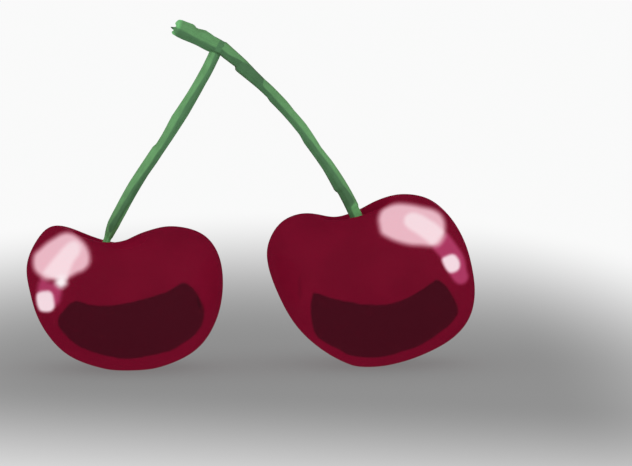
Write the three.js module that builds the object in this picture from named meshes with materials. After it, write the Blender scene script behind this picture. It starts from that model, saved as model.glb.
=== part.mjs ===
// A pair of ripe sweet cherries that grew from one bud, picked with their stems still joined.
// Two fruits stand side by side on the small flat spots they press into the surface. Each holds
// a stem in the funnel at its top, and both stems meet at the stub of spur that they grew from.
//
// Millimetres. +X to the right, +Y to the back, +Z up. The surface is z = 0 and the origin is
// under the middle of the pair.

import * as THREE from "three";
import { mergeVertices } from "three/addons/utils/BufferGeometryUtils.js";

const { lerp, smoothstep } = THREE.MathUtils;

// How finely each kind of piece is faceted, and how close two corners are joined into one.
const FRUIT_DETAIL = 10;
const OUTLINE_SAMPLES = 720;
const STEM_SIDES = 12;
const STEM_STEPS = 72;
const SPUR_SIDES = 16;
const SPUR_STEPS = 18;
const WELD = 1e-5;

// Half the height over which a fruit's rounded underside turns into its flat spot.
const FOOT_BLEND = 0.12;
// Where each feature of a fruit comes in, from none to all of it, on a ball of radius 1: up the
// height for the shoulder and the funnel, back from the middle for the suture, and towards the
// front and the back for the plain round face that the outline fades to.
const SHOULDER_RISE = [0, 0.8];
const FUNNEL_RISE = [0, 0.35];
const SUTURE_RISE = [0.1, 0.5];
const FRONT_FADE = [-0.1, 0.9];
const BACK_FADE = [0.45, 1.0];

// Fruit skins. outline is the closed front outline, x and height from the fruit's own foot,
// anticlockwise from the right side. middle is the height that the outline is measured round.
// The round face is an ellipse, with its top at the crown's height over the middle and as boxy
// as its power.
const FRUITS = {
  fruit_left: {
    foot: [-16.36, -2.05],
    middle: 9.6,
    outline: [
      [12.8, 11.2], [12.1, 15.0], [10.2, 17.3], [5.9, 18.3], [2.6, 17.55], [-1.2, 16.4],
      [-4.4, 17.05], [-6.7, 17.8], [-9.3, 18.6], [-11.0, 17.0], [-12.6, 13.5], [-11.9, 9.4],
      [-10.4, 5.7], [-7.4, 2.0], [-2.7, 0.1], [0.4, -0.3], [4.8, 0.2], [9.5, 2.5], [12.0, 6.4],
    ],
    depth: { front: 11.2, back: 10.8 },
    face: { crown: 7.8, power: 3.5 },
    fullness: { belly: 2.2, shoulder: 2.6 },
    funnel: { x: -2.6, y: 1.5, depth: 4.2, width: 2.2 },
    suture: { x: -1.0, depth: 0.35, width: 1.3 },
  },
  fruit_right: {
    foot: [15.38, 1.94],
    middle: 11.0,
    outline: [
      [13.9, 9.2], [13.6, 12.2], [12.6, 15.9], [10.7, 19.2], [7.9, 21.6], [4.3, 22.2],
      [1.2, 21.6], [-2.0, 20.1], [-4.8, 19.2], [-8.45, 19.7], [-11.5, 18.55], [-13.3, 15.2],
      [-12.9, 12.1], [-10.9, 8.2], [-8.2, 4.5], [-4.3, 1.1], [-0.9, -0.4], [1.5, -0.2],
      [6.5, 1.1], [11.3, 3.6], [13.3, 6.2],
    ],
    depth: { front: 11.8, back: 11.4 },
    face: { crown: 9.0, power: 2.5 },
    fullness: { belly: 2.2, shoulder: 2.6 },
    funnel: { x: -1.3, y: 0.2, depth: 4.2, width: 2.6 },
    suture: { x: -0.6, depth: 0.35, width: 1.3 },
  },
};

// Stems and spur. path is the centre line from end to end. upper and lower are how far the upper
// and the lower edge stand off it, in the plane of the bend, at shares of its length.
const STEMS = {
  stem_left: {
    path: [
      [-19.1, -0.55, 14.0], [-18.95, -0.55, 15.2], [-18.65, -0.55, 16.45], [-18.0, -0.55, 18.1],
      [-17.15, -0.55, 19.8], [-15.6, -0.5, 22.6], [-12.75, -0.4, 27.05], [-10.0, -0.3, 31.2],
      [-7.75, -0.2, 34.75], [-5.8, -0.1, 38.15], [-4.85, 0.0, 40.3],
    ],
    upper: [
      [0, 0.55], [0.06, 0.45], [0.1, 0.44], [0.13, 0.66], [0.16, 0.78], [0.24, 0.76], [0.35, 0.84],
      [0.52, 0.78], [0.54, 0.64], [0.6, 0.67], [0.68, 0.88], [0.8, 0.75], [0.9, 0.74], [1, 0.66],
    ],
    lower: [
      [0, 0.55], [0.06, 0.45], [0.1, 0.46], [0.16, 0.75], [0.23, 0.8], [0.42, 0.71], [0.48, 0.79],
      [0.72, 0.83], [0.87, 0.72], [1, 0.78],
    ],
  },
  stem_right: {
    path: [
      [14.25, 2.15, 17.4], [14.1, 2.2, 18.1], [13.8, 2.15, 19.35], [13.45, 2.1, 20.1],
      [12.6, 2.1, 21.7], [11.25, 1.95, 24.1], [9.2, 1.7, 27.15], [7.1, 1.35, 30.2],
      [4.8, 0.95, 33.1], [1.65, 0.5, 36.45], [-0.95, 0.2, 38.95], [-3.35, 0.0, 41.15],
    ],
    upper: [
      [0, 0.72], [0.1, 0.74], [0.12, 0.86], [0.2, 0.87], [0.33, 0.84], [0.41, 0.67], [0.53, 0.81],
      [0.6, 0.73], [0.64, 0.81], [0.74, 0.79], [0.78, 0.72], [0.83, 0.76], [0.89, 0.88], [1, 0.88],
    ],
    lower: [
      [0, 0.8], [0.1, 0.83], [0.2, 0.78], [0.22, 0.95], [0.24, 0.97], [0.32, 0.76], [0.38, 0.76],
      [0.46, 0.86], [0.51, 0.69], [0.7, 0.82], [0.72, 0.69], [0.78, 0.75], [0.89, 0.99],
      [0.91, 0.7], [1, 0.82],
    ],
  },
};

const SPUR = {
  path: [
    [-9.85, -0.4, 44.2], [-8.75, -0.3, 43.75], [-7.1, -0.2, 43.05], [-5.5, 0.0, 42.3],
    [-3.75, 0.0, 41.4],
  ],
  upper: [
    [0, 0.8], [0.06, 1.03], [0.3, 1.15], [0.36, 1.12], [0.41, 0.9], [0.46, 0.88], [0.6, 1.07],
    [0.78, 0.88], [1, 0.88],
  ],
  lower: [[0, 0.8], [0.06, 1.03], [0.28, 1.12], [0.8, 1.14], [0.95, 1.02], [1, 0.95]],
  tornNotch: 0.25,
};

const MATERIALS = {
  skin: new THREE.MeshStandardMaterial({ color: 0x6c0d25, roughness: 0.2, metalness: 0 }),
  stem: new THREE.MeshStandardMaterial({ color: 0x5b9058, roughness: 0.55, metalness: 0 }),
  spur: new THREE.MeshStandardMaterial({ color: 0x54834f, roughness: 0.7, metalness: 0 }),
};

// The radius of a closed outline at any angle round its middle.
function outlineRadius({ outline, middle }) {
  const points = outline.map(([x, z]) => new THREE.Vector3(x, 0, z - middle));
  const samples = new THREE.CatmullRomCurve3(points, true)
    .getPoints(OUTLINE_SAMPLES)
    .map((p) => [Math.atan2(p.z, p.x), Math.hypot(p.x, p.z)])
    .sort((a, b) => a[0] - b[0]);
  return (angle) => {
    const found = samples.findIndex(([a]) => a >= angle);
    const after = found < 0 ? 0 : found;
    const before = (after + samples.length - 1) % samples.length;
    const [a0, r0] = samples[before];
    const [a1, r1] = samples[after];
    const gap = a1 - a0;
    return gap > 0 ? lerp(r0, r1, (angle - a0) / gap) : (r0 + r1) / 2;
  };
}

// A rounded maximum of height and 0, so that the underside turns smoothly into the flat spot.
function onSurface(height) {
  if (height >= FOOT_BLEND) return height;
  if (height <= -FOOT_BLEND) return 0;
  return (height + FOOT_BLEND) ** 2 / (4 * FOOT_BLEND);
}

// A bell curve that is 1 at 0 and falls off over the width.
function bell(distance, width) {
  return Math.exp(-((distance / width) ** 2));
}

// The radius of a fruit's plain round face in the direction of x and z: boxy over the middle
// and an ellipse under it.
function roundFace({ face }, radiusAt) {
  const halfWidth = (radiusAt(0) + radiusAt(Math.PI)) / 2;
  const base = radiusAt(-Math.PI / 2);
  return (x, z) => {
    const [power, halfHeight] = z > 0 ? [face.power, face.crown] : [2, base];
    const reach = Math.abs(x / halfWidth) ** power + Math.abs(z / halfHeight) ** power;
    return Math.hypot(x, z) / Math.max(WELD, reach ** (1 / power));
  };
}

// A fruit: its front outline, swelled to the front and back, with the stem's funnel pressed
// into its top, the shallow suture line down its back and its flat spot on the surface.
function fruitGeometry(fruit) {
  const radiusAt = outlineRadius(fruit);
  const faceAt = roundFace(fruit, radiusAt);
  const { depth, fullness, funnel, suture, middle } = fruit;

  const geometry = new THREE.IcosahedronGeometry(1, FRUIT_DETAIL);
  geometry.deleteAttribute("normal");
  geometry.deleteAttribute("uv");
  const merged = mergeVertices(geometry, WELD);
  const position = merged.getAttribute("position");
  for (let i = 0; i < position.count; i++) {
    const [x, y, z] = [position.getX(i), position.getY(i), position.getZ(i)];
    const across = Math.hypot(x, z);
    const power = lerp(fullness.belly, fullness.shoulder, smoothstep(z, ...SHOULDER_RISE));
    const swell = (across ** power + Math.abs(y) ** power) ** (-1 / power);
    const fade = y < 0 ? smoothstep(-y, ...FRONT_FADE) : smoothstep(y, ...BACK_FADE);
    const radius = lerp(radiusAt(Math.atan2(z, x)), faceAt(x, z), fade);

    let px = radius * swell * x;
    let py = lerp(depth.front, depth.back, (y + 1) / 2) * swell * y;
    let pz = middle + radius * swell * z;

    const top = smoothstep(z, ...FUNNEL_RISE);
    pz -= funnel.depth * top * bell(Math.hypot(px - funnel.x, py - funnel.y), funnel.width);
    const behind = smoothstep(y, ...SUTURE_RISE);
    py -= suture.depth * behind * bell(px - suture.x, suture.width);
    position.setXYZ(i, px, py, onSurface(pz));
  }
  return merged;
}

// The value at a share of a rod's length, between the pairs of share and value given.
function valueAt(table, share) {
  const next = Math.max(1, table.findIndex(([s]) => s >= share));
  const [s0, v0] = table[next - 1];
  const [s1, v1] = table[next];
  return lerp(v0, v1, (share - s0) / (s1 - s0));
}

// A round rod turned to its thickness and bent along its path, with its upper and lower edges as
// far off the path as given. shift moves a point of the straight rod along the path: it is given
// the share of the length and the height in the section.
function bentRod({ path, upper, lower }, sides, steps, shift = () => 0) {
  const curve = new THREE.CatmullRomCurve3(path.map((p) => new THREE.Vector3(...p)));
  const profile = [new THREE.Vector2(0, 0)];
  for (let i = 0; i <= steps; i++) {
    const share = i / steps;
    const halfThickness = (valueAt(upper, share) + valueAt(lower, share)) / 2;
    profile.push(new THREE.Vector2(halfThickness, share));
  }
  profile.push(new THREE.Vector2(0, 1));
  const rod = new THREE.LatheGeometry(profile, sides);
  rod.deleteAttribute("normal");
  rod.deleteAttribute("uv");

  const position = rod.getAttribute("position");
  const toBack = new THREE.Vector3(0, 1, 0);
  for (let i = 0; i < position.count; i++) {
    const [height, share, back] = [position.getX(i), position.getY(i), position.getZ(i)];
    const along = curve.getTangentAt(share);
    const upward = new THREE.Vector3()
      .crossVectors(along, toBack)
      .multiplyScalar(Math.sign(along.x))
      .normalize();
    const sideways = new THREE.Vector3().crossVectors(upward, along);
    const offCentre = (valueAt(upper, share) - valueAt(lower, share)) / 2;
    const point = curve
      .getPointAt(share)
      .addScaledVector(upward, height + offCentre)
      .addScaledVector(sideways, back)
      .addScaledVector(along, shift(share, height));
    position.setXYZ(i, point.x, point.y, point.z);
  }
  return mergeVertices(rod, WELD);
}

// The torn end of the spur: its upper and lower rims stand out past the notch between them.
function tornEnd(share, height) {
  return share > 0 ? 0 : -SPUR.tornNotch * Math.min(1, Math.abs(height));
}

function piece(name, geometry, material) {
  const mesh = new THREE.Mesh(geometry, material);
  mesh.name = name;
  return mesh;
}

const pair = new THREE.Group();

for (const [name, fruit] of Object.entries(FRUITS)) {
  const skin = piece(name, fruitGeometry(fruit), MATERIALS.skin);
  skin.position.set(...fruit.foot, 0);
  pair.add(skin);
}
for (const [name, stem] of Object.entries(STEMS)) {
  pair.add(piece(name, bentRod(stem, STEM_SIDES, STEM_STEPS), MATERIALS.stem));
}
pair.add(piece("spur", bentRod(SPUR, SPUR_SIDES, SPUR_STEPS, tornEnd), MATERIALS.spur));

export default pair;
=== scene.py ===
# A pair of ripe sweet cherries that grew from one bud, picked with their stems still joined.
#
# The fruits, their stems and the stub of spur are modelled here as a person would in Blender:
# a ball or a rod is made with mesh operators, subdivided, and then pushed into shape. Sizes in
# the tables are millimetres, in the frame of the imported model: +X to the right, +Y to the back,
# +Z up, and the surface at z = 0. Everything made is in metres.

import math

import bmesh
import bpy
import numpy as np
from bpy.props import FloatProperty, FloatVectorProperty, IntProperty, PointerProperty
from bpy.types import Operator, Panel, PropertyGroup
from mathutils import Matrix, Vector, noise
from mathutils.bvhtree import BVHTree
from mathutils.interpolate import poly_3d_calc


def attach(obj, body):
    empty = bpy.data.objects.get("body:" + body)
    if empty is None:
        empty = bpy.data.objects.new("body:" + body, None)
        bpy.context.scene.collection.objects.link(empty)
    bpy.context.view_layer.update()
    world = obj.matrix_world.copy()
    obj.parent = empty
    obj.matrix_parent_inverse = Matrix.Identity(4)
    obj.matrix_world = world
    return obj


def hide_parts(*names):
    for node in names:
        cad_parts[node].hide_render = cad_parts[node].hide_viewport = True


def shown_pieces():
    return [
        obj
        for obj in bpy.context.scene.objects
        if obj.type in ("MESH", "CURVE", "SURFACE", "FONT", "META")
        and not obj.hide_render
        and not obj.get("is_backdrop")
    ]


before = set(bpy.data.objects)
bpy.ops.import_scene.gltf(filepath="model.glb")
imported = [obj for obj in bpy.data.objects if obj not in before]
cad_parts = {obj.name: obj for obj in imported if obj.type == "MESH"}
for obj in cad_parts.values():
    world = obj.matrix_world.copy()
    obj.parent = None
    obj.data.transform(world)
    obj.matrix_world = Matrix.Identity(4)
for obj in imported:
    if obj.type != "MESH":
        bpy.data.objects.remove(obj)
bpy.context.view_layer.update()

bl_info = {
    "name": "Pair of cherries",
    "version": (1, 0, 0),
    "blender": (4, 5, 0),
    "location": "View3D > Sidebar > Cherries",
    "description": "Makes two ripe cherries joined by their stems, and a stage to look at them on",
    "category": "Add Mesh",
}

MM = 0.001

# ---- The shapes, in millimetres ------

# outline is the fruit's closed outline from the front, x and height from its own foot, and middle is the
# height that it is measured round. depth is how far it reaches to the front and to the back. crown is how
# high the round face stands over the middle, and boxy the power of its upper half. fullness is the power of
# the side view at the belly and at the shoulder, 2 being round. funnel, bloom and suture are where the stem
# funnel, the dull bloom on its front lip and the crease down the back lie, with their sizes. The last entry
# is the outline of the dark patch low on the front, x and height in the frame of the pair. That patch is
# painted shade, a dark crescent where the lower belly turns away from the light.
FRUITS = {
    "left": {
        "node": "fruit_left",
        "foot": (-16.36, -2.05),
        "middle": 9.6,
        "outline": [
            (12.8, 11.2), (12.1, 15.0), (10.2, 17.3), (5.9, 18.3), (2.6, 17.55), (-1.2, 16.4),
            (-4.4, 17.05), (-6.7, 17.8), (-9.3, 18.6), (-11.0, 17.0), (-12.6, 13.5), (-11.9, 9.4),
            (-10.4, 5.7), (-7.4, 2.0), (-2.7, 0.1), (0.4, -0.3), (4.8, 0.2), (9.5, 2.5), (12.0, 6.4),
        ],
        "depth": (11.2, 10.8),
        "crown": 7.8,
        "boxy": 3.5,
        "fullness": (2.2, 2.6),
        "funnel": {"x": -2.6, "y": 1.5, "depth": 4.2, "width": 2.2},
        "bloom": {"x": 0.4, "y": -4.3, "width": 2.7},
        "suture": {"x": -1.0, "depth": 0.35, "width": 1.3},
        "painted_shade": [
            (-21.8, 9.8), (-20.0, 9.4), (-18.2, 9.3), (-16.2, 9.5), (-14.2, 9.9), (-12.3, 10.4),
            (-10.5, 10.9), (-9.2, 11.6), (-8.2, 12.0), (-7.1, 11.2), (-6.4, 9.9), (-5.8, 8.4),
            (-5.8, 7.3), (-6.1, 6.2), (-7.2, 4.8), (-8.4, 4.0), (-10.0, 3.1), (-12.8, 2.5),
            (-15.6, 2.1), (-18.3, 2.6), (-20.0, 3.1), (-21.5, 3.7), (-22.5, 4.4), (-23.3, 5.2),
            (-24.0, 6.0), (-24.3, 6.9), (-24.1, 7.7), (-23.6, 8.4), (-22.8, 9.3),
        ],
    },
    "right": {
        "node": "fruit_right",
        "foot": (15.38, 1.94),
        "middle": 11.0,
        "outline": [
            (13.9, 9.2), (13.6, 12.2), (12.6, 15.9), (10.7, 19.2), (7.9, 21.6), (4.3, 22.2),
            (1.2, 21.6), (-2.0, 20.1), (-4.8, 19.2), (-8.45, 19.7), (-11.5, 18.55), (-13.3, 15.2),
            (-12.9, 12.1), (-10.9, 8.2), (-8.2, 4.5), (-4.3, 1.1), (-0.9, -0.4), (1.5, -0.2),
            (6.5, 1.1), (11.3, 3.6), (13.3, 6.2),
        ],
        "depth": (11.8, 11.4),
        "crown": 9.0,
        "boxy": 2.5,
        "fullness": (2.2, 2.6),
        "funnel": {"x": -1.3, "y": 0.2, "depth": 4.2, "width": 2.6},
        "bloom": {"x": -1.3, "y": -3.0, "width": 1.6},
        "suture": {"x": -0.6, "depth": 0.35, "width": 1.3},
        "painted_shade": [
            (8.2, 10.4), (9.6, 10.1), (11.0, 9.7), (12.8, 9.4), (14.7, 9.1), (17.7, 9.1),
            (19.2, 9.5), (20.6, 10.1), (22.5, 11.2), (23.3, 11.7), (24.0, 12.0), (25.2, 11.1),
            (25.8, 10.1), (26.4, 9.0), (26.8, 8.0), (26.7, 7.1), (25.7, 5.8), (24.2, 4.7),
            (22.7, 3.7), (21.3, 3.0), (19.7, 2.6), (18.3, 2.1), (16.7, 1.8), (14.2, 1.8),
            (12.7, 2.1), (11.5, 2.8), (9.0, 4.2), (8.4, 4.9), (8.1, 5.8), (7.9, 6.9),
            (7.8, 8.1), (7.9, 9.3),
        ],
    },
}

# Half the height over which the underside turns into the flat spot that it rests on, how many
# directions the outline is read in, and the angle over which its corners are smoothed.
FOOT_BLEND = 0.12
OUTLINE_STEPS = 720
OUTLINE_BLUR = math.radians(5)
# Where each feature comes in on a ball of radius 1: up the height, or from the middle to the
# front or to the back.
SHOULDER_RISE = (0.0, 0.8)
FUNNEL_RISE = (0.0, 0.35)
SUTURE_RISE = (0.1, 0.5)
FRONT_FADE = (-0.1, 0.9)
BACK_FADE = (0.45, 1.0)
# The width of the fine line down the suture, and the size of the flower scar underneath.
CREASE_WIDTH = 0.28
SCAR = {"width": 0.55, "depth": 0.3}
# The dark patch of painted shade low on a fruit is measured this far inside and outside its outline, which
# wobbles by this much.
# Round the back, between these distances behind the foot, its edge softens to a share of its
# sharpness and draws in.
PAINTED_SHADE_REACH = 4.0
PAINTED_SHADE_WOBBLE = 0.3
PAINTED_SHADE_SOFTENS = (0.0, 7.0)
PAINTED_SHADE_BEHIND = {"sharpness": 0.2, "drawn_in": 1.25}
# How many times faster than the funnel deepens its dull bloom comes in.
BLOOM_FROM_FUNNEL = 12.0

# path is the centre line from the fruit up. The tables go by shares of its length: upper and lower are how
# far the upper and the lower edge stand off it, and the skin is darker between the heights in the section
# given by dark_from and dark_to, 1 being the upper edge and -1 the lower. That darker green is painted
# shade, laid on the under side where the light from above falls less. pale_foot is how far up the paler
# foot reaches, and tones are the brightness of the green low on the stem and high up. The pale foot is
# partly painted light, lifting the lit side near the fruit out of the funnel's shade.
STALKS = {
    "left": {
        "node": "stem_left",
        "pale_foot": 3.7,
        "tones": (1.0, 1.0),
        "path": [
            (-19.15, -0.55, 13.0), (-18.95, -0.55, 15.19), (-18.65, -0.55, 16.44),
            (-17.98, -0.55, 18.08), (-17.15, -0.55, 19.79), (-15.58, -0.5, 22.58),
            (-12.73, -0.4, 27.04), (-10.0, -0.3, 31.19), (-7.77, -0.2, 34.77),
            (-5.82, -0.1, 38.17), (-4.62, 0.0, 40.75),
        ],
        "upper": [
            (0, 0.8), (0.05, 0.5), (0.12, 0.43), (0.152, 0.66), (0.182, 0.78), (0.254, 0.76),
            (0.367, 0.84), (0.532, 0.78), (0.543, 0.75), (0.551, 0.64), (0.564, 0.62),
            (0.603, 0.66), (0.687, 0.88), (0.799, 0.75), (0.901, 0.74), (0.982, 0.66), (1, 0.66),
        ],
        "lower": [
            (0, 0.8), (0.05, 0.5), (0.12, 0.45), (0.13, 0.56), (0.182, 0.75), (0.245, 0.8),
            (0.431, 0.71), (0.491, 0.79), (0.727, 0.83), (0.871, 0.7), (0.982, 0.8), (1, 0.8),
        ],
        "dark_to": [
            (0.0, -0.2), (0.14, -0.2), (0.152, 0.25), (0.165, 0.58), (0.185, 0.47), (0.22, 0.29),
            (0.265, 0.24), (0.305, 0.13), (0.35, 0.1), (0.385, -0.03), (0.445, -0.18),
            (0.525, -0.15), (0.61, -0.08), (0.69, -0.02), (0.74, 0.12), (0.785, 0.13),
            (0.845, -0.02), (0.875, -0.15), (0.95, -0.17), (1.0, -0.1),
        ],
        "dark_from": [
            (0.0, 0.1), (0.14, 0.1), (0.152, -0.25), (0.165, -0.46), (0.185, -0.59), (0.22, -0.64),
            (0.265, -0.73), (0.285, -0.86), (0.31, -1.3), (1.0, -1.3),
        ],
    },
    "right": {
        "node": "stem_right",
        "pale_foot": 3.9,
        "tones": (1.0, 0.81),
        "path": [
            (14.28, 2.15, 16.76), (14.11, 2.2, 18.11), (13.78, 2.15, 19.36), (13.44, 2.1, 20.08),
            (12.61, 2.1, 21.73), (11.23, 1.95, 24.11), (9.18, 1.7, 27.16), (7.11, 1.35, 30.2),
            (4.81, 0.95, 33.11), (1.66, 0.5, 36.47), (-0.96, 0.2, 38.97), (-3.75, 0.0, 41.45),
        ],
        "upper": [
            (0, 0.95), (0.03, 0.74), (0.117, 0.74), (0.128, 0.86), (0.201, 0.87), (0.338, 0.84),
            (0.412, 0.67), (0.528, 0.81), (0.602, 0.73), (0.644, 0.81), (0.738, 0.79),
            (0.779, 0.72), (0.831, 0.76), (0.883, 0.88), (0.958, 0.91), (1, 0.92),
        ],
        "lower": [
            (0, 0.95), (0.03, 0.8), (0.117, 0.83), (0.201, 0.78), (0.212, 0.79), (0.221, 0.95),
            (0.233, 0.98), (0.329, 0.76), (0.38, 0.76), (0.466, 0.86), (0.507, 0.69),
            (0.697, 0.82), (0.716, 0.69), (0.77, 0.75), (0.883, 0.99), (0.895, 0.96),
            (0.904, 0.68), (0.958, 0.82), (1, 0.86),
        ],
        "dark_to": [
            (0.0, -0.3), (0.122, -0.2), (0.132, -0.1), (0.142, 0.6), (0.165, 0.74), (0.19, 0.63),
            (0.211, 0.52), (0.25, 0.47), (0.3, 0.43), (0.34, 0.38), (0.42, 0.38), (0.44, 0.3),
            (0.465, 0.24), (0.485, 0.12), (0.506, 0.02), (0.56, 0.03), (0.62, -0.03),
            (0.66, -0.07), (0.7, -0.02), (0.735, -0.1), (0.757, -0.05), (0.77, 0.1), (0.785, 1.2),
            (0.84, 1.2), (0.863, 0.92), (0.884, 0.76), (0.905, 0.43), (0.926, 0.24),
            (0.947, -0.02), (0.958, -0.1), (1.0, -0.1),
        ],
        "dark_from": [(0.0, -1.3), (1.0, -1.3)],
    },
}

# The spur has the same, but its path runs from the torn end to the stems. torn is how far that
# end is set back at heights in its section, with the dry point that stands out of it, and scar is
# the width of the dark ring where the right stem starts.
SPUR = {
    "node": "spur",
    "path": [
        (-9.78, -0.4, 44.18), (-8.77, -0.3, 43.75), (-7.95, -0.25, 43.4), (-7.11, -0.2, 43.05),
        (-6.29, -0.1, 42.68), (-5.48, 0.0, 42.29), (-4.66, 0.0, 41.88), (-3.7, 0.0, 41.38),
    ],
    "upper": [
        (0, 1.05), (0.06, 1.08), (0.3, 1.16), (0.347, 1.12), (0.398, 0.91), (0.445, 0.88),
        (0.588, 1.08), (0.779, 0.88), (0.83, 0.9), (1, 0.87),
    ],
    "lower": [
        (0, 1.05), (0.06, 1.07), (0.25, 1.12), (0.779, 1.17), (0.9, 1.1), (1, 1.0),
    ],
    "dark_to": [
        (0.0, 0.02), (0.08, 0.02), (0.17, -0.04), (0.35, -0.1), (0.48, -0.1), (0.55, -0.23),
        (0.64, -0.14), (1.0, -0.15),
    ],
    "dark_from": [(0.0, -0.75), (0.06, -0.85), (0.1, -1.3), (1.0, -1.3)],
    "torn": [
        (-1.0, 0.42), (-0.93, 0.18), (-0.82, 0.0), (-0.7, -0.02), (-0.55, 0.1), (-0.42, 0.12),
        (-0.1, 0.08), (0.05, 0.18), (0.2, 0.1), (0.4, 0.0), (0.75, 0.05), (0.93, 0.25), (1.0, 0.5),
    ],
    "dry_point": {"height": -0.27, "width": 0.13, "length": 0.5},
    "scar": 0.65,
    "tones": (0.85, 0.85),
}

# The share of a rod over which its direction is taken, and how far its ends bulge for their
# thickness. The spur has more sides than a stem.
ALONG_STEP = 0.004
END_BULGE = 0.35
SPUR_MORE_SIDES = 16
# How far the grooves turn round a rod on their way up, how they sway, and the finer grooves
# between them, with their number and depth against the others.
GROOVES = {"turn": 1.5, "sway": 0.8, "sways": 9, "fine": 3, "fine_turn": -4, "fine_depth": 0.35}
# How rough the torn end is, how fine its grain, how far up the spur it reaches, how much it is
# dished, and how deep its dry point is, front to back.
TORN = {"rough": 0.12, "grain": 3.1, "reach": 1.4, "dish": 0.3, "point_depth": 0.35}

# ---- The skins -----------------------

# The scale, to a millimetre, the detail and the roughness of each noise. Fibres are stretched.
NOISES = {
    "broad": (0.16, 3.0, 0.5),
    "mottle": (0.9, 4.0, 0.6),
    "grain": (4.0, 2.0, 0.5),
    "pore_patches": (0.5, 2.0, 0.5),
    "fibre": (1.6, 4.0, 0.6),
    "patch": (0.7, 3.0, 0.5),
}
FIBRE_STRETCH = (5.0, 5.0, 0.35)
# Between which values of its noise or its mark each change in a skin comes in. Where two more
# follow, they are the shares that it starts and ends with.
CHANGES = {
    "broad": (0.35, 0.65),
    # Next, the edge of the dark patch of painted shade low on a fruit.
    "painted_shade": (-0.2, 0.2),
    "mottle": (0.5, 0.8, 0.0, 0.16),
    "hollow": (0.55, 1.0, 0.0, 0.4),
    "pore": (0.07, 0.13, 1.0, 0.0),
    "pore_patches": (0.4, 0.7, 0.04, 0.28),
    "bloom": (0.025, 0.6),
    # lit and shaded vary the stems' painted light and painted shade with a noise, and under is the edge
    # between them.
    "lit": (0.35, 0.7),
    "shaded": (0.3, 0.7),
    "under": (-0.14, 0.14),
    "streaks": (0.5, 0.75),
    "rough": (0.3, 0.8),
    "dry": (0.15, 0.6),
}
# How bright a skin's colour is in its lighter and darker parts, and how strong the line of the crease is.
# hollow is how dark the skin is in the stem funnel, and the stems' lit and shaded greens are painted light
# and painted shade.
TINTS = {
    "broad": (0.93, 1.05), "mottle": 0.6, "crease": 0.45, "hollow": 0.5,
    "lit": (1.04, 0.9), "shaded": (0.94, 1.08), "streaks": 0.75,
}
CREASE_SHARE = 0.5
# How much each counts for in the relief of a skin, and how high that is, in metres.
RELIEF = {"grain": 0.25, "pores": 0.35, "patches": 0.3, "height": 0.0001}
# The skin of the stems and of the woodier spur: how dark its streaks are, how strong its relief
# is, and its roughness between the fibres and on them.
GRAINS = {
    "stem": {"streaks": 0.18, "relief": 0.35, "rough": (0.42, 0.62)},
    "spur": {"streaks": 0.38, "relief": 0.65, "rough": (0.57, 0.77)},
}
# How much the edge of the painted shade on a rod's under side wobbles, between which shares of a rod's
# length its tone changes, and half the width of the edge of its scar.
UNDER_WOBBLE = 0.35
TONE_CHANGE = (0.5, 0.75)
SCAR_EDGE = 0.06
# The length over which the pale foot fades out, how pale it is, and how much less so underneath. The pale
# foot is partly the paler swelling where a stem joins its fruit and partly painted light, lifting the lit
# side out of the funnel's shade.
PALE_FOOT = {"fade": 0.8, "strength": 0.8, "under": 0.75}

# ---- The stage -----------------------

# The middle of the view, x and height. Heights in the view are measured up the picture.
VIEW_CENTRE = (8.5, 17.36)

# Where the floor's painted shadow, a grey pool round the fruit, starts to fade to each side, and over what
# width. Its front edge slants and its back edge is bowed, with a rounded middle.
PAINTED_SHADOW = {"left": (18.2, 132.4), "right": (36.3, 50.6), "back": (46.7, 234.3), "front": (24.7, 117.1)}
PAINTED_SHADOW_SLANT = 0.286
PAINTED_SHADOW_BOW = 1.08
PAINTED_SHADOW_ROUND = 20.0

# Half the width of the floor.
FLOOR_REACH = 6000.0

# The wide soft light under the floor that lights the undersides: how deep it lies and its width.
UNDERLIGHT = {"depth": 60.0, "width": 600.0}
# How far each inner fill is tipped from straight down. It is past level, to reach the belly.
INNER_FILL_TILT = math.radians(100)

# The index of refraction of the waxy coat, which sets how much of a soft box it mirrors.
COAT_IOR = 3.0
# A soft box's distance from the skin, and the spacing of its points and the margin round its
# shines, as they are seen in the view. Its light is worked out for skin that faces the camera by
# at least this much.
SHINE_DISTANCE = 20.0
SHINE_STEP = 0.13
SHINE_MARGIN = 0.6
LEAST_FACING = 0.05
# The soft edges of the shines fade evenly to the eye, which this power stands for. The skin's own
# colour lies under them, and a soft box adds only what is missing.
GAMMA = 2.2
SHINE_GROUND = (0.15, 0.004, 0.0185)
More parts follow.
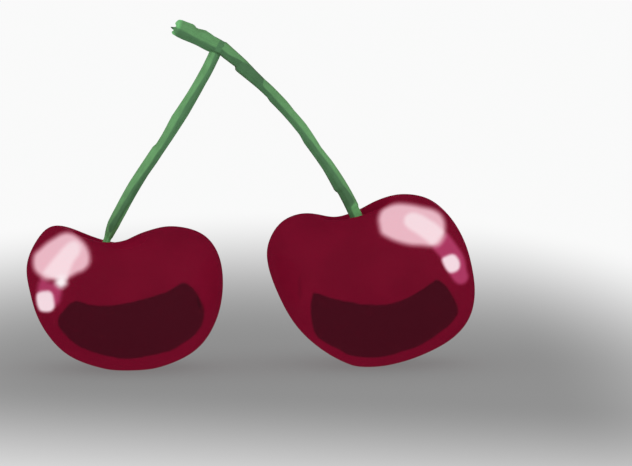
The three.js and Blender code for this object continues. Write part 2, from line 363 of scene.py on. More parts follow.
# What each fruit's soft box shows on its skin, back to front: the outline as it is seen in the
# view, how soft its edge is and its colour. They are the glow, the window, the tube in it, the
# left fruit's sparkle and the spot.
GLOW = (0.402, 0.042, 0.122)
WINDOW = (0.83, 0.493, 0.57)
TUBE = (0.935, 0.73, 0.78)
SPOT = (0.915, 0.722, 0.782)
SPARKLE = (0.975, 0.89, 0.91)
SHINES = {
    "left": [
        ([
            (-27.2, 11.4), (-26.3, 11.0), (-25.3, 10.7), (-24.6, 10.0), (-24.7, 9.0), (-25.1, 8.1),
            (-25.7, 7.9), (-26.7, 8.6), (-27.7, 9.7),
        ], 0.50, GLOW),
        ([
            (-23.9, 17.4), (-23.0, 17.2), (-22.0, 16.5), (-21.3, 15.6), (-20.9, 14.4), (-21.0, 13.3),
            (-21.7, 12.5), (-22.6, 12.1), (-23.6, 11.6), (-25.3, 11.4), (-26.6, 11.3), (-27.4, 11.8),
            (-28.1, 12.6), (-28.3, 13.6), (-28.1, 14.6), (-27.4, 15.3), (-26.5, 16.1), (-25.4, 16.8),
            (-24.7, 17.2),
        ], 0.54, WINDOW),
        ([
            (-22.9, 16.3), (-22.2, 15.8), (-22.2, 14.8), (-23.0, 13.6), (-23.6, 12.2), (-23.9, 11.4),
            (-25.2, 11.4), (-26.4, 11.8), (-26.9, 12.2), (-26.2, 13.3), (-25.2, 14.5), (-24.2, 15.6),
            (-23.6, 16.1),
        ], 0.43, TUBE),
        ([
            (-25.2, 11.4), (-24.5, 11.8), (-24.0, 11.4), (-23.9, 10.7), (-24.7, 10.2), (-25.4, 10.8),
        ], 0.55, SPARKLE),
        ([
            (-27.8, 9.4), (-27.4, 9.7), (-26.2, 9.8), (-25.8, 9.5), (-25.5, 8.2), (-25.5, 7.7),
            (-25.9, 7.2), (-26.9, 7.1), (-27.4, 7.3), (-27.8, 8.2),
        ], 0.30, SPOT),
    ],
    "right": [
        ([
            (23.7, 15.5), (24.6, 14.3), (25.4, 13.0), (26.0, 11.8), (26.6, 11.0), (27.2, 10.7),
            (27.9, 10.9), (28.3, 11.6), (28.1, 12.5), (27.7, 14.3), (26.9, 15.6), (26.1, 16.7),
            (25.5, 17.3), (24.6, 16.4),
        ], 0.35, GLOW),
        ([
            (16.6, 19.3), (17.0, 20.3), (17.9, 20.9), (19.1, 21.2), (20.7, 21.1), (22.2, 20.8),
            (23.8, 20.4), (24.7, 19.8), (25.2, 18.9), (25.3, 17.7), (25.2, 16.8), (24.5, 15.8),
            (23.6, 15.6), (22.2, 15.7), (20.7, 15.8), (19.1, 16.2), (17.9, 16.7), (17.0, 17.3),
            (16.7, 18.3),
        ], 0.55, WINDOW),
        ([
            (20.0, 18.6), (20.1, 19.5), (20.9, 20.0), (22.0, 19.8), (23.1, 19.2), (24.3, 18.4),
            (25.0, 17.5), (24.7, 16.9), (24.1, 16.1), (23.5, 15.9), (22.8, 16.4), (21.7, 17.2),
            (20.5, 18.0),
        ], 0.38, TUBE),
        ([
            (24.9, 14.0), (25.5, 14.4), (26.2, 14.6), (26.7, 14.4), (27.2, 13.5), (27.1, 12.7),
            (26.6, 12.3), (25.9, 12.2), (25.3, 12.8),
        ], 0.29, SPOT),
    ],
}

# ---- What a user would change --------


def colour_prop(name, description, default):
    """A linear colour a user can pick."""
    return FloatVectorProperty(
        name=name, description=description, subtype="COLOR", size=3, min=0.0, max=1.0, default=default
    )


def amount(name, description, default, low, high, **kind):
    """A number a user can set between two limits."""
    return FloatProperty(name=name, description=description, default=default, min=low, max=high, **kind)


class CherryFruitSettings(PropertyGroup):
    skin: colour_prop("Skin", "Colour of the ripe skin", (0.175, 0.0036, 0.0199))
    # The colour of the dark patch low on the front is painted shade, where the lower belly turns from the
    # light.
    painted_shade: colour_prop("Painted shade", "Colour of the riper patches low on the skin", (0.0275, 0.0047, 0.0084))
    dots: colour_prop("Dots", "Colour of the tiny pale pores in the skin", (0.36, 0.045, 0.06))
    dot_spacing: amount("Dot spacing", "How far apart the pores are", 0.0011, 0.0002, 0.01, unit="LENGTH")
    suture_groove: amount(
        "Suture crease", "Depth of the fine crease down the back", 0.00007, 0.0, 0.001, unit="LENGTH"
    )
    gloss: amount("Gloss", "Strength of the waxy shine", 1.0, 0.0, 1.0, subtype="FACTOR")
    detail: IntProperty(
        name="Detail", description="Faces along each edge of the cube that becomes the ball",
        default=92, min=16, max=120,
    )


class CherryStalkSettings(PropertyGroup):
    # These two greens are lit and shaded copies of one green: painted light on the upper sides and painted
    # shade on the under sides.
    lit: colour_prop("Upper side", "Green of the sides that grew in the light", (0.139, 0.372, 0.14))
    shaded: colour_prop("Under side", "Darker green of the under sides", (0.078, 0.215, 0.09))
    # The foot's paler green is partly the stem's paler swelling and partly painted light, lifting the stem
    # out of the funnel's shade.
    foot: colour_prop("Foot", "Paler green where a stem meets its fruit", (0.19, 0.6, 0.21))
    dried: colour_prop("Dry point", "Colour of the dry point at the torn end", (0.045, 0.09, 0.05))
    ridge: amount("Ridges", "Depth of the grooves along a stem", 0.000035, 0.0, 0.0005, unit="LENGTH")
    ridges: IntProperty(name="Ridge count", description="Grooves round a stem", default=7, min=0, max=24)
    sides: IntProperty(name="Sides", description="Faces round a stem", default=56, min=8, max=96)


class CherryStageSettings(PropertyGroup):
    floor: colour_prop("Floor", "Brightness of the floor away from the fruit", (0.953, 0.953, 0.953))
    # The floor's grey round the fruit is a painted shadow.
    floor_shade: colour_prop(
        "Floor shade", "Brightness of the floor round the fruit", (0.285, 0.285, 0.285)
    )
    fill: amount(
        "Floor fill", "Share of the floor's light that casts no shadow on it", 0.68, 0.0, 0.95,
        subtype="FACTOR",
    )
    sky: amount("Surroundings", "Brightness of the even light all round", 0.98, 0.0, 1.0)
    mirrored: colour_prop(
        "Mirrored surroundings", "What the skins reflect where no soft box stands, as dark as they are",
        (0.14, 0.0055, 0.02),
    )
    underlight: amount("Underlight", "Brightness of the soft light on the undersides", 0.62, 0.0, 10.0)
    inner_fill: amount(
        "Inner fill", "Brightness of the light on the side that each fruit turns to the other",
        0.5, 0.0, 10.0,
    )
    shine: amount("Shines", "Brightness of the soft boxes that the skins reflect", 0.97, 0.0, 10.0)
    elevation: amount(
        "Camera height", "How far the camera looks down", math.radians(5), 0.0, math.radians(90),
        subtype="ANGLE",
    )
    distance: amount("Camera distance", "From the camera to the fruit", 0.42, 0.1, 5.0, unit="LENGTH")
    frame_width: amount("Frame width", "Width seen at the fruit", 0.08216, 0.01, 1.0, unit="LENGTH")


# ---- Curves and profiles -------------


def smoothstep(value, low, high):
    """0 up to low and 1 from high, eased in between."""
    share = np.clip((value - low) / (high - low), 0.0, 1.0)
    return share * share * (3 - 2 * share)


def bell(distance, width):
    """1 at 0, falling off over the width."""
    return np.exp(-((distance / width) ** 2))


def smooth_curve(points, closed=False, steps=24):
    """A smooth curve through the points, as a dense list of points."""
    pts = [np.array(p, dtype=float) for p in points]
    count = len(pts)
    spans = count if closed else count - 1

    def knot(i):
        if closed:
            return pts[i % count]
        if i < 0:
            return 2 * pts[0] - pts[1]
        if i >= count:
            return 2 * pts[-1] - pts[-2]
        return pts[i]

    curve = []
    for i in range(spans):
        p0, p1, p2, p3 = (knot(i + k) for k in (-1, 0, 1, 2))
        d0, d1, d2 = (np.linalg.norm(b - a) ** 0.5 for a, b in ((p0, p1), (p1, p2), (p2, p3)))
        t1 = ((p1 - p0) / d0 - (p2 - p0) / (d0 + d1) + (p2 - p1) / d1) * d1
        t2 = ((p2 - p1) / d1 - (p3 - p1) / (d1 + d2) + (p3 - p2) / d2) * d1
        for step in range(steps):
            t = step / steps
            curve.append(
                p1 + t1 * t + (-3 * p1 + 3 * p2 - 2 * t1 - t2) * t**2 + (2 * p1 - 2 * p2 + t1 + t2) * t**3
            )
    if not closed:
        curve.append(pts[-1])
    return np.array(curve)


def measured_curve(path):
    """A smooth curve through a path, and how far along it each of its points lies."""
    line = smooth_curve(path, steps=40)
    return line, np.concatenate([[0], np.cumsum(np.linalg.norm(np.diff(line, axis=0), axis=1))])


def inside_distance(loop, x, z):
    """How far each point is inside a closed loop, in millimetres; negative outside it."""
    a, b = loop, np.roll(loop, -1, axis=0)
    nearest = np.full(len(x), 1e9)
    inside = np.zeros(len(x), dtype=bool)
    for (ax, az), (bx, bz) in zip(a, b):
        dx, dz = bx - ax, bz - az
        t = np.clip(((x - ax) * dx + (z - az) * dz) / (dx * dx + dz * dz), 0, 1)
        nearest = np.minimum(nearest, np.hypot(x - ax - t * dx, z - az - t * dz))
        crosses = ((az > z) != (bz > z)) & (x < ax + (z - az) * dx / (dz if dz else 1e-12))
        inside ^= crosses
    return np.where(inside, nearest, -nearest)


# ---- Meshes --------------------------


def mesh_from(name, bm, material):
    """A mesh in one material, made from a bmesh."""
    mesh = bpy.data.meshes.new(name)
    bm.to_mesh(mesh)
    bm.free()
    mesh.materials.append(material)
    return mesh


def place(name, data):
    """Puts a new object into the scene."""
    obj = bpy.data.objects.new(name, data)
    bpy.context.scene.collection.objects.link(obj)
    return obj


def finish_mesh(name, bm, shape, material):
    """Turns a bmesh into a piece: shape moves its points (mm) and returns its point attributes."""
    mesh = mesh_from(name, bm, material)
    flat = np.empty(len(mesh.vertices) * 3)
    mesh.vertices.foreach_get("co", flat)
    points, attributes = shape(flat.reshape(-1, 3))
    mesh.vertices.foreach_set("co", (points * MM).ravel())
    for key, values in attributes.items():
        if values.ndim == 1:
            mesh.attributes.new(key, "FLOAT", "POINT").data.foreach_set("value", values)
        else:
            mesh.attributes.new(key, "FLOAT_VECTOR", "POINT").data.foreach_set("vector", values.ravel())
    mesh.polygons.foreach_set("use_smooth", [True] * len(mesh.polygons))
    mesh.update()
    piece = place(name, mesh)
    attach(piece, "root")
    return piece


def ball(detail):
    """A ball of radius 1 with even square faces and no poles."""
    bm = bmesh.new()
    bmesh.ops.create_cube(bm, size=2)
    bmesh.ops.subdivide_edges(bm, edges=bm.edges[:], cuts=detail - 1, use_grid_fill=True)
    for vert in bm.verts:
        even = Vector(math.tan(c * math.pi / 4) for c in vert.co)
        vert.co = even.normalized()
    return bm


def rod(sides, steps, rings=4):
    """A straight rod of radius 1 from z = 0 to 1, in rings, its end faces inset for rounding."""
    bm = bmesh.new()
    bmesh.ops.create_cone(bm, cap_ends=True, segments=sides, radius1=1, radius2=1, depth=1)
    bmesh.ops.translate(bm, verts=bm.verts[:], vec=(0, 0, 0.5))
    lengthwise = [e for e in bm.edges if abs(e.verts[0].co.z - e.verts[1].co.z) > 0.5]
    bmesh.ops.subdivide_edges(bm, edges=lengthwise, cuts=steps - 1)
    for _ in range(rings):
        caps = [f for f in bm.faces if len(f.verts) == sides]
        bmesh.ops.inset_individual(bm, faces=caps, thickness=1 / (rings + 1), use_even_offset=True)
    caps = [f for f in bm.faces if len(f.verts) == sides]
    bmesh.ops.poke(bm, faces=caps)
    return bm


def fruit_shape(fruit, settings):
    """Swells a ball to the fruit's outline, and presses in its funnel, suture and flat spot."""
    loop = smooth_curve([(x, z - fruit["middle"]) for x, z in fruit["outline"]], closed=True)
    turn = np.linspace(-math.pi, math.pi, OUTLINE_STEPS, endpoint=False)
    radii = np.interp(turn, np.arctan2(loop[:, 1], loop[:, 0]), np.hypot(*loop.T), period=2 * math.pi)
    blur = bell(np.minimum(turn + math.pi, math.pi - turn), OUTLINE_BLUR)
    radii = np.fft.irfft(np.fft.rfft(radii) * np.fft.rfft(blur / blur.sum()))

    def radius_at(angle):
        return np.interp(angle, turn, radii, period=2 * math.pi)

    half_width = (radius_at(0.0) + radius_at(math.pi)) / 2
    crown, base = fruit["crown"], radius_at(-math.pi / 2)
    funnel, bloom, suture = fruit["funnel"], fruit["bloom"], fruit["suture"]
    belly, shoulder = fruit["fullness"]
    front, back = fruit["depth"]
    foot_x, foot_y = fruit["foot"]
    painted_shade = smooth_curve(fruit["painted_shade"], closed=True, steps=8)

    def shape(points):
        x, y, z = points.T
        across = np.hypot(x, z)
        power = belly + (shoulder - belly) * smoothstep(z, *SHOULDER_RISE)
        swell = (across**power + np.abs(y) ** power) ** (-1 / power)
        half_height, box = np.where(z > 0, crown, base), np.where(z > 0, fruit["boxy"], 2.0)
        reach = (np.abs(x / half_width) ** box + np.abs(z / half_height) ** box) ** (1 / box)
        round_face = across / np.maximum(1e-5, reach)
        own = radius_at(np.arctan2(z, x))
        fade = np.where(y < 0, smoothstep(-y, *FRONT_FADE), smoothstep(y, *BACK_FADE))
        radius = own + (round_face - own) * fade
        px = radius * swell * x
        py = (front + (back - front) * (y + 1) / 2) * swell * y
        pz = fruit["middle"] + radius * swell * z

        upper = smoothstep(z, *FUNNEL_RISE)
        in_funnel = upper * bell(np.hypot(px - funnel["x"], py - funnel["y"]), funnel["width"])
        on_lip = upper * bell(np.hypot(px - bloom["x"], py - bloom["y"]), bloom["width"])
        pz = pz - funnel["depth"] * in_funnel
        behind = smoothstep(y, *SUTURE_RISE)
        crease = behind * bell(px - suture["x"], CREASE_WIDTH)
        py = py - suture["depth"] * behind * bell(px - suture["x"], suture["width"])
        py = py - settings.suture_groove / MM * crease

        scar = bell(np.hypot(px, py), SCAR["width"]) * (z < 0)
        pz = np.where(
            pz >= FOOT_BLEND, pz, np.where(pz <= -FOOT_BLEND, 0, (pz + FOOT_BLEND) ** 2 / (4 * FOOT_BLEND))
        )
        pz = pz + SCAR["depth"] * scar
        placed = np.stack([px + foot_x, py + foot_y, pz], axis=1)
        # The dark patch low on the front is painted shade: how far each point lies inside its outline.
        painted_dark = inside_distance(painted_shade, placed[:, 0], placed[:, 2])
        painted_dark = np.clip(painted_dark, -PAINTED_SHADE_REACH, PAINTED_SHADE_REACH)
        painted_dark_behind = PAINTED_SHADE_BEHIND["sharpness"] * (painted_dark - PAINTED_SHADE_BEHIND["drawn_in"])
        attributes = {
            "painted_shade": painted_dark + smoothstep(py, *PAINTED_SHADE_SOFTENS) * (painted_dark_behind - painted_dark),
            "funnel": in_funnel,
            "bloom": np.maximum(BLOOM_FROM_FUNNEL * in_funnel, on_lip),
            "crease": np.maximum(crease, scar),
        }
        return placed, attributes

    return shape


def rod_shape(part, settings, relief=1.0):
    """Bends a straight rod to the part's path and edges, with its grooves and its torn end."""
    line, lengths = measured_curve(part["path"])
    total = lengths[-1]

    def at(share):
        return np.stack([np.interp(share * total, lengths, line[:, k]) for k in range(3)], axis=1)

    def table(name, share):
        return np.interp(share, *zip(*part[name]))

    def shape(points):
        height, back, share = points.T
        around = np.arctan2(back, height)
        spread = np.hypot(height, back)
        upper, lower = table("upper", share), table("lower", share)

        along = at(np.clip(share + ALONG_STEP, 0, 1)) - at(np.clip(share - ALONG_STEP, 0, 1))
        along /= np.linalg.norm(along, axis=1, keepdims=True)
        upward = np.cross(along, (0, 1, 0)) * np.sign(along[:, :1])
        upward /= np.linalg.norm(upward, axis=1, keepdims=True)
        sideways = np.cross(upward, along)

        sway = GROOVES["turn"] * share + GROOVES["sway"] * np.sin(GROOVES["sways"] * share)
        grooves = np.cos(settings.ridges * around + sway)
        fine = np.cos(GROOVES["fine"] * settings.ridges * around + GROOVES["fine_turn"] * share)
        grooves = grooves + GROOVES["fine_depth"] * fine
        thick = (upper + lower) / 2 + relief * settings.ridge / MM * grooves

        rim = 1 - np.clip(spread, 0, 1)
        end = np.where(share <= 0, -1.0, np.where(share >= 1, 1.0, 0.0))
        shift = end * END_BULGE * thick.mean() * (1 - (1 - rim) ** 2) ** 0.5
        dry = np.zeros(len(share))
        if "torn" in part:
            point = part["dry_point"]
            rough = TORN["rough"] * np.array([noise.noise(Vector(p) * TORN["grain"]) for p in points])
            near = np.clip(1 - share * total / TORN["reach"], 0, 1) ** 2
            dry = bell(height - point["height"], point["width"]) * bell(back, TORN["point_depth"]) * near
            setback = table("torn", height) + TORN["dish"] * back**2 + rough
            shift = np.where(share >= 1, shift, near * setback - point["length"] * dry * (share <= 0))
        placed = (
            at(share)
            + upward * (np.cos(around) * spread * thick + (upper - lower) / 2)[:, None]
            + sideways * (np.sin(around) * spread * thick)[:, None]
            + along * shift[:, None]
        )
        side = np.cos(around)
        section = np.stack([side * spread, np.sin(around) * spread, share * total], axis=1)
        # shaded marks the painted shade on the under side, between dark_from and dark_to.
        shaded = np.minimum(table("dark_to", share) - side, side - table("dark_from", share))
        return placed, {"section": section, "shaded": shaded, "dry": dry}

    return shape


# ---- Materials -----------------------


def new_material(name):
    """An empty material and its node tree."""
    material = bpy.data.materials.new(name)
    material.use_nodes = True
    material.node_tree.nodes.clear()
    return material, material.node_tree


def add(tree, kind, inputs=None, **settings):
    """Adds a node; an input given a socket is linked, and any other value is set."""
    made = tree.nodes.new(kind)
    for key, value in settings.items():
        setattr(made, key, value)
    for key, value in (inputs or {}).items():
        socket = made.inputs[key]
        if isinstance(value, bpy.types.NodeSocket):
            tree.links.new(value, socket)
        else:
            socket.default_value = value
    return made


def rgba(colour, gain=1.0):
    """A colour with its alpha, made brighter or darker."""
    return (*(min(1.0, c * gain) for c in colour), 1.0)


def mix(tree, share, first, second):
    """The first colour, mixed with a share of the second."""
    return add(tree, "ShaderNodeMix", {0: share, 6: first, 7: second}, data_type="RGBA").outputs[2]


def maths(tree, operation, first, second=0.0, third=0.0):
    """The result of an operation on numbers."""
    return add(tree, "ShaderNodeMath", {0: first, 1: second, 2: third}, operation=operation).outputs[0]


def span(tree, value, low, high, to_low=0.0, to_high=1.0):
    """The value eased from one range to another."""
    return add(
        tree, "ShaderNodeMapRange",
        {"Value": value, "From Min": low, "From Max": high, "To Min": to_low, "To Max": to_high},
        interpolation_type="SMOOTHSTEP",
    ).outputs[0]


def millimetres(tree, centre=(0.0, 0.0, 0.0)):
    """Object coordinates in millimetres from a centre."""
    where = add(tree, "ShaderNodeTexCoord")
    return add(
        tree, "ShaderNodeMapping",
        {"Vector": where.outputs["Object"], "Location": tuple(-c for c in centre), "Scale": (1 / MM,) * 3},
    ).outputs[0]


def noise_at(tree, vector, name):
    """One of the noises, from 0 to 1."""
    scale, detail, roughness = NOISES[name]
    return add(
        tree, "ShaderNodeTexNoise",
        {"Vector": vector, "Scale": scale, "Detail": detail, "Roughness": roughness},
    ).outputs["Fac"]


def attribute(tree, name, output="Fac"):
    """A mesh's point attribute."""
    return add(tree, "ShaderNodeAttribute", attribute_name=name).outputs[output]


def varied(tree, name, noise, colour):
    """A colour whose brightness changes with a noise."""
    first, second = (rgba(colour, tint) for tint in TINTS[name])
    return mix(tree, span(tree, noise, *CHANGES[name]), first, second)


def wobbled(tree, mark, noise, width):
    """A mark that a noise moves up and down, within a width."""
    wobble = maths(tree, "MULTIPLY_ADD", noise, width, -width / 2)
    return maths(tree, "ADD", attribute(tree, mark), wobble)


def finish_skin(tree, inputs):
    """Ends a material with a shader that has the inputs."""
    shader = add(tree, "ShaderNodeBsdfPrincipled", inputs)
    add(tree, "ShaderNodeOutputMaterial", {"Surface": shader.outputs[0]})


def ripe_skin(name, centre, settings):
    """Glossy crimson skin with a dark patch of painted shade low on the front, faint mottling, pores and
    the suture line.
    """
    material, tree = new_material(name)
    mm = millimetres(tree, centre)
    broad = noise_at(tree, mm, "broad")
    mottle = noise_at(tree, mm, "mottle")
    grain = noise_at(tree, mm, "grain")

    skin = varied(tree, "broad", broad, settings.skin)
    # Painted shade: the dark patch low on the front.
    painted_dark = span(tree, wobbled(tree, "painted_shade", mottle, PAINTED_SHADE_WOBBLE), *CHANGES["painted_shade"])
    skin = mix(tree, painted_dark, skin, rgba(settings.painted_shade))
    mottled = span(tree, mottle, *CHANGES["mottle"])
    skin = mix(tree, mottled, skin, rgba(settings.skin, TINTS["mottle"]))
    line = maths(tree, "MULTIPLY", attribute(tree, "crease"), CREASE_SHARE)
    skin = mix(tree, line, skin, rgba(settings.skin, TINTS["crease"]))
    hollow = span(tree, attribute(tree, "funnel"), *CHANGES["hollow"])
    skin = mix(tree, hollow, skin, rgba(settings.skin, TINTS["hollow"]))

    pores = add(
        tree, "ShaderNodeTexVoronoi", {"Vector": mm, "Scale": MM / settings.dot_spacing, "Randomness": 1.0},
        feature="F1",
    )
    dot = span(tree, pores.outputs["Distance"], *CHANGES["pore"])
    some = span(tree, noise_at(tree, mm, "pore_patches"), *CHANGES["pore_patches"])
    skin = mix(tree, maths(tree, "MULTIPLY", dot, some), skin, rgba(settings.dots))

    waxed = span(tree, attribute(tree, "bloom"), *CHANGES["bloom"], settings.gloss, 0.0)
    raised = maths(tree, "MULTIPLY", dot, RELIEF["pores"])
    height = maths(tree, "MULTIPLY_ADD", grain, RELIEF["grain"], raised)
    bump = add(
        tree, "ShaderNodeBump", {"Height": height, "Strength": 0.04, "Distance": RELIEF["height"]}
    ).outputs[0]
    finish_skin(tree, {
        "Base Color": skin, "Roughness": 0.4, "IOR": 1.4, "Specular IOR Level": 0.0,
        "Coat Weight": waxed, "Coat Roughness": 0.06, "Coat IOR": COAT_IOR,
        "Normal": bump, "Coat Normal": bump,
    })
    return material


def green_stalk(name, part, settings, grain, pale_foot=0.0, scar=0.0):
    """Green skin with painted shade on its under side, fine fibres, a pale foot that is partly painted
    light, a scar ring and a dry point.
    """
    material, tree = new_material(name)
    length = float(measured_curve(part["path"])[1][-1])
    section = attribute(tree, "section", "Vector")
    fibres = add(tree, "ShaderNodeMapping", {"Vector": section, "Scale": FIBRE_STRETCH}).outputs[0]
    fibre = noise_at(tree, fibres, "fibre")
    patch = noise_at(tree, millimetres(tree), "patch")

    # Painted shade: the under side is the darker green.
    under = span(tree, wobbled(tree, "shaded", fibre, UNDER_WOBBLE), *CHANGES["under"])
    lit = varied(tree, "lit", patch, settings.lit)
    green = mix(tree, under, lit, varied(tree, "shaded", patch, settings.shaded))
    streaks = span(tree, fibre, *CHANGES["streaks"], 0.0, grain["streaks"])
    green = mix(tree, streaks, green, rgba(settings.shaded, TINTS["streaks"]))

    along = add(tree, "ShaderNodeSeparateXYZ", {0: section}).outputs[2]
    tone = span(tree, along, *(share * length for share in TONE_CHANGE), *part["tones"])
    green = add(tree, "ShaderNodeVectorMath", {0: green, "Scale": tone}, operation="SCALE").outputs[0]
    # Partly painted light: the lit side near the fruit is paler.
    foot = span(tree, along, pale_foot, pale_foot + PALE_FOOT["fade"], PALE_FOOT["strength"], 0.0)
    unshaded = maths(tree, "MULTIPLY_ADD", under, -PALE_FOOT["under"], 1.0)
    green = mix(tree, maths(tree, "MULTIPLY", foot, unshaded), green, rgba(settings.foot))
    ring = span(tree, along, length - scar - SCAR_EDGE, length - scar + SCAR_EDGE)
    green = mix(tree, ring, green, rgba(settings.shaded))
    green = mix(tree, span(tree, attribute(tree, "dry"), *CHANGES["dry"]), green, rgba(settings.dried))

    height = maths(tree, "ADD", fibre, maths(tree, "MULTIPLY", patch, RELIEF["patches"]))
    bump = add(
        tree, "ShaderNodeBump",
        {"Height": height, "Strength": grain["relief"], "Distance": RELIEF["height"]},
    ).outputs[0]
    rough = span(tree, fibre, *CHANGES["rough"], *grain["rough"])
    finish_skin(
        tree, {"Base Color": green, "Roughness": rough, "Specular IOR Level": 0.3, "Normal": bump}
    )
    return material


def beyond(tree, distance, start, width):
    """How far past the start a distance is, as a share of the width, and 0 before it."""
    past = maths(tree, "SUBTRACT", distance, start)
    return maths(tree, "DIVIDE", maths(tree, "MAXIMUM", past, 0.0), width)


def studio_floor(name, settings):
    """Plain pale floor, with a painted shadow that makes it greyer round the fruit."""
    material, tree = new_material(name)
    parts = add(tree, "ShaderNodeSeparateXYZ", {0: millimetres(tree)})
    x, y = parts.outputs[0], parts.outputs[1]
    sideways = maths(tree, "SQRT", maths(tree, "MULTIPLY_ADD", x, x, PAINTED_SHADOW_ROUND**2))
    distances = {
        "left": maths(tree, "MULTIPLY", x, -1.0),
        "right": x,
        "back": maths(tree, "MULTIPLY_ADD", sideways, PAINTED_SHADOW_BOW, y),
        "front": maths(tree, "SUBTRACT", maths(tree, "MULTIPLY", x, -PAINTED_SHADOW_SLANT), y),
    }
    squares = 0.0
    for side, distance in distances.items():
        past = beyond(tree, distance, *PAINTED_SHADOW[side])
        squares = maths(tree, "MULTIPLY_ADD", past, past, squares)
    away = maths(tree, "SQRT", squares)
    dimmed = (1 - settings.fill) / settings.sky
    shade, pale = rgba(settings.floor_shade, dimmed), rgba(settings.floor, dimmed)
    colour = mix(tree, span(tree, away, 0.0, 1.0), shade, pale)
    finish_skin(tree, {"Base Color": colour, "Roughness": 0.9, "Specular IOR Level": 0.0})
    return material


# ---- Operators -----------------------


class CHERRY_OT_fruits(Operator):
    """Make the two fruits"""

    bl_idname = "cherry.fruits"
    bl_label = "Fruits"
    bl_options = {"REGISTER", "UNDO"}

    def execute(self, context):
        settings = context.scene.cherry_fruits
        for side, fruit in FRUITS.items():
            centre = (*fruit["foot"], fruit["middle"])
            material = ripe_skin(f"ripe_skin_{side}", centre, settings)
            shape = fruit_shape(fruit, settings)
            piece = finish_mesh(f"cherry_{side}", ball(settings.detail), shape, material)
            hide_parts(fruit["node"])
        return {"FINISHED"}


class CHERRY_OT_stalks(Operator):
    """Make the two stems and the stub of spur that they grow from"""

    bl_idname = "cherry.stalks"
    bl_label = "Stems and spur"
    bl_options = {"REGISTER", "UNDO"}

    def execute(self, context):
        settings = context.scene.cherry_stalks
        for side, stalk in STALKS.items():
            material = green_stalk(
                f"green_stem_{side}", stalk, settings, GRAINS["stem"], pale_foot=stalk["pale_foot"]
            )
            bm = rod(settings.sides, steps=220)
            piece = finish_mesh(f"stem_{side}_grown", bm, rod_shape(stalk, settings), material)
            piece.visible_glossy = False
            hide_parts(stalk["node"])
        material = green_stalk("woody_spur", SPUR, settings, GRAINS["spur"], scar=SPUR["scar"])
        bm = rod(settings.sides + SPUR_MORE_SIDES, steps=90, rings=18)
        shape = rod_shape(SPUR, settings, relief=1.6)
        piece = finish_mesh("spur_torn", bm, shape, material)
        piece.visible_glossy = False
        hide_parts(SPUR["node"])
        return {"FINISHED"}


def view_frame(settings):
    """Where the camera stands and what it faces, and its right and up directions, in metres."""
    tilt = settings.elevation
    up = Vector((0.0, math.sin(tilt), math.cos(tilt)))
    aim = Vector((VIEW_CENTRE[0], 0.0, VIEW_CENTRE[1])) * MM
    eye = aim + settings.distance * Vector((0.0, -math.cos(tilt), math.sin(tilt)))
    return eye, aim, Vector((1.0, 0.0, 0.0)), up


def coat_reflectance(cosine):
    """The share of light that the waxy coat reflects at an angle."""
    g = math.sqrt(COAT_IOR**2 - 1 + cosine**2)
    return 0.5 * ((g - cosine) / (g + cosine)) ** 2 * (
        1 + ((cosine * (g + cosine) - 1) / (cosine * (g - cosine) + 1)) ** 2
    )


def lamp(name, kind, energy, objects):
    """A light that reaches only some objects, and that only they block."""
    data = bpy.data.lights.new(name, kind)
    data.energy = energy
    light = place(name, data)
    chosen = bpy.data.collections.new(f"{name}_on")
    for obj in objects:
        chosen.objects.link(obj)
    light.light_linking.receiver_collection = chosen
    light.light_linking.blocker_collection = chosen
    return light


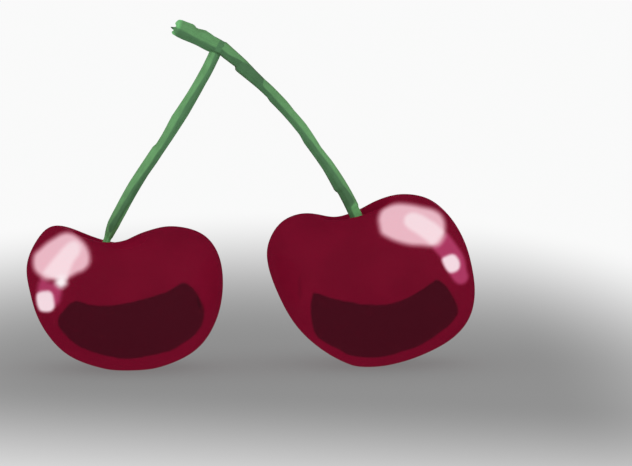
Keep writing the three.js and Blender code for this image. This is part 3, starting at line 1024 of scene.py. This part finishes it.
def graded_box(name, skin, layers, settings):
    """A large graded soft box that curves round a fruit, so that its skin shows the shines.

    It starts as a flat grid over the shines as they are seen from the front. Each point then
    moves to where the skin reflects it, and gets the brightness that the coat needs there.
    """
    eye, aim, right, up = view_frame(settings)
    loops = [(smooth_curve(points, closed=True, steps=6), soft, colour) for points, soft, colour in layers]
    reach = np.concatenate([loop for loop, _, _ in loops])
    low, high = reach.min(axis=0) - SHINE_MARGIN, reach.max(axis=0) + SHINE_MARGIN
    counts = np.ceil((high - low) / SHINE_STEP).astype(int)

    bm = bmesh.new()
    light = bm.verts.layers.float_vector.new("light")
    bmesh.ops.create_grid(bm, x_segments=int(counts[0]), y_segments=int(counts[1]), size=0.5)
    bmesh.ops.scale(bm, verts=bm.verts[:], vec=(*(high - low), 1.0))
    bmesh.ops.translate(bm, verts=bm.verts[:], vec=(*((high + low) / 2), 0.0))
    x, z = np.array([vert.co[:2] for vert in bm.verts]).T
    ground = np.array(SHINE_GROUND)
    wanted = np.tile(ground ** (1 / GAMMA), (len(x), 1))
    for loop, soft, colour in loops:
        share = smoothstep(inside_distance(loop, x, z), -soft, soft)[:, None]
        wanted = wanted + (np.array(colour) ** (1 / GAMMA) - wanted) * share
    wanted = wanted**GAMMA

    mesh = skin.data
    tree = BVHTree.FromPolygons([v.co for v in mesh.vertices], [p.vertices for p in mesh.polygons])
    dark = []
    for vert, colour in zip(bm.verts, wanted - ground):
        seen = aim + right * (vert.co.x - VIEW_CENTRE[0]) * MM + up * (vert.co.y - VIEW_CENTRE[1]) * MM
        ray = (seen - eye).normalized()
        hit, _, index, _ = tree.ray_cast(eye, ray)
        if hit is None or colour.max() < 1e-4:
            dark.append(vert)
            continue
        corners = [mesh.vertices[i] for i in mesh.polygons[index].vertices]
        weights = poly_3d_calc([c.co for c in corners], hit)
        normal = sum((w * c.normal for w, c in zip(weights, corners)), Vector()).normalized()
        facing = max(LEAST_FACING, -ray.dot(normal))
        vert.co = hit + ray.reflect(normal) * (SHINE_DISTANCE * MM)
        vert[light] = Vector(colour) / coat_reflectance(facing)
    bmesh.ops.delete(bm, geom=dark, context="VERTS")

    # The box is clear, so that it hides nothing from the other fruit, and only the first layer
    # that a mirrored ray meets shines, so that a fold isn't brighter.
    material, nodes = new_material(name)
    path = add(nodes, "ShaderNodeLightPath")
    first = maths(nodes, "LESS_THAN", path.outputs["Ray Depth"], 1.5)
    front = maths(nodes, "LESS_THAN", path.outputs["Transparent Depth"], 0.5)
    strength = maths(nodes, "MULTIPLY", maths(nodes, "MULTIPLY", first, front), settings.shine)
    colour = attribute(nodes, "light", "Color")
    shine = add(nodes, "ShaderNodeEmission", {"Color": colour, "Strength": strength})
    clear = add(nodes, "ShaderNodeBsdfTransparent")
    both = add(nodes, "ShaderNodeAddShader", {0: shine.outputs[0], 1: clear.outputs[0]})
    add(nodes, "ShaderNodeOutputMaterial", {"Surface": both.outputs[0]})
    material.cycles.emission_sampling = "NONE"
    box = place(name, mesh_from(name, bm, material))
    for kind in ("camera", "diffuse", "transmission", "volume_scatter", "shadow"):
        setattr(box, f"visible_{kind}", False)
    lit = bpy.data.collections.new(f"{name}_lights")
    lit.objects.link(skin)
    box.light_linking.receiver_collection = lit
    box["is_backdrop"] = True


class CHERRY_OT_stage(Operator):
    """Set the floor, the soft studio light and the camera"""

    bl_idname = "cherry.stage"
    bl_label = "Stage"
    bl_options = {"REGISTER", "UNDO"}

    def execute(self, context):
        settings = context.scene.cherry_stage
        self.lay_floor(settings)
        self.light(context, settings)
        self.set_camera(context, settings)
        return {"FINISHED"}

    def lay_floor(self, settings):
        """Lays the floor, which the skins don't mirror."""
        bm = bmesh.new()
        bmesh.ops.create_grid(bm, x_segments=8, y_segments=8, size=FLOOR_REACH * MM)
        floor = place("floor", mesh_from("floor", bm, studio_floor("pale_floor", settings)))
        floor.visible_glossy = False
        floor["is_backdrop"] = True

    def light(self, context, settings):
        """Sets even surroundings, the fills, the light from below and the soft boxes."""
        world = bpy.data.worlds.new("soft_surroundings")
        world.use_nodes = True
        tree = world.node_tree
        tree.nodes.clear()
        path = add(tree, "ShaderNodeLightPath")
        colour = mix(tree, path.outputs["Is Camera Ray"], rgba((settings.sky,) * 3), rgba(settings.floor))
        colour = mix(tree, path.outputs["Is Glossy Ray"], colour, rgba(settings.mirrored))
        background = add(tree, "ShaderNodeBackground", {"Color": colour})
        add(tree, "ShaderNodeOutputWorld", {"Surface": background.outputs[0]})
        context.scene.world = world

        energy = math.pi * settings.sky * settings.fill / (1 - settings.fill)
        lamp("floor_fill", "SUN", energy, [bpy.data.objects["floor"]])

        for side, facing in (("left", 1), ("right", -1)):
            skin = bpy.data.objects[f"cherry_{side}"]
            inner = lamp(f"inner_fill_{side}", "SUN", settings.inner_fill, [skin])
            inner.rotation_euler = (0.0, facing * INNER_FILL_TILT, 0.0)
            inner.visible_glossy = False

        width = UNDERLIGHT["width"] * MM
        energy = settings.underlight * math.pi * width**2
        under = lamp("underlight", "AREA", energy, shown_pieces())
        under.data.size = width
        under.location = (0.0, 0.0, -UNDERLIGHT["depth"] * MM)
        under.rotation_euler = (math.pi, 0.0, 0.0)
        under.visible_camera = False
        under.visible_glossy = False

        for side, layers in SHINES.items():
            graded_box(f"soft_box_{side}", bpy.data.objects[f"cherry_{side}"], layers, settings)

    def set_camera(self, context, settings):
        """Sets the camera, and plain colours for its view."""
        data = bpy.data.cameras.new("camera")
        data.sensor_width = 36.0
        data.lens = data.sensor_width * settings.distance / settings.frame_width
        data.clip_end = 20.0
        camera = place("camera", data)
        camera.location = view_frame(settings)[0]
        camera.rotation_euler = (math.pi / 2 - settings.elevation, 0.0, 0.0)
        context.scene.camera = camera
        context.scene.view_settings.view_transform = "Standard"


class VIEW3D_PT_cherries(Panel):
    """Steps that make the pair, with their settings"""

    bl_idname = "VIEW3D_PT_cherries"
    bl_label = "Cherries"
    bl_space_type = "VIEW_3D"
    bl_region_type = "UI"
    bl_category = "Cherries"

    def draw(self, context):
        scene = context.scene
        for group, operator in (
            (scene.cherry_fruits, CHERRY_OT_fruits),
            (scene.cherry_stalks, CHERRY_OT_stalks),
            (scene.cherry_stage, CHERRY_OT_stage),
        ):
            box = self.layout.box()
            for key in group.bl_rna.properties.keys():
                if key not in {"rna_type", "name"}:
                    box.prop(group, key)
            box.operator(operator.bl_idname)


CLASSES = (
    CherryFruitSettings,
    CherryStalkSettings,
    CherryStageSettings,
    CHERRY_OT_fruits,
    CHERRY_OT_stalks,
    CHERRY_OT_stage,
    VIEW3D_PT_cherries,
)


def register():
    for cls in CLASSES:
        bpy.utils.register_class(cls)
    bpy.types.Scene.cherry_fruits = PointerProperty(type=CherryFruitSettings)
    bpy.types.Scene.cherry_stalks = PointerProperty(type=CherryStalkSettings)
    bpy.types.Scene.cherry_stage = PointerProperty(type=CherryStageSettings)


def unregister():
    del bpy.types.Scene.cherry_fruits
    del bpy.types.Scene.cherry_stalks
    del bpy.types.Scene.cherry_stage
    for cls in reversed(CLASSES):
        bpy.utils.unregister_class(cls)


def main():
    register()
    bpy.ops.cherry.fruits()
    bpy.ops.cherry.stalks()
    bpy.ops.cherry.stage()


if __name__ == "__main__":
    main()
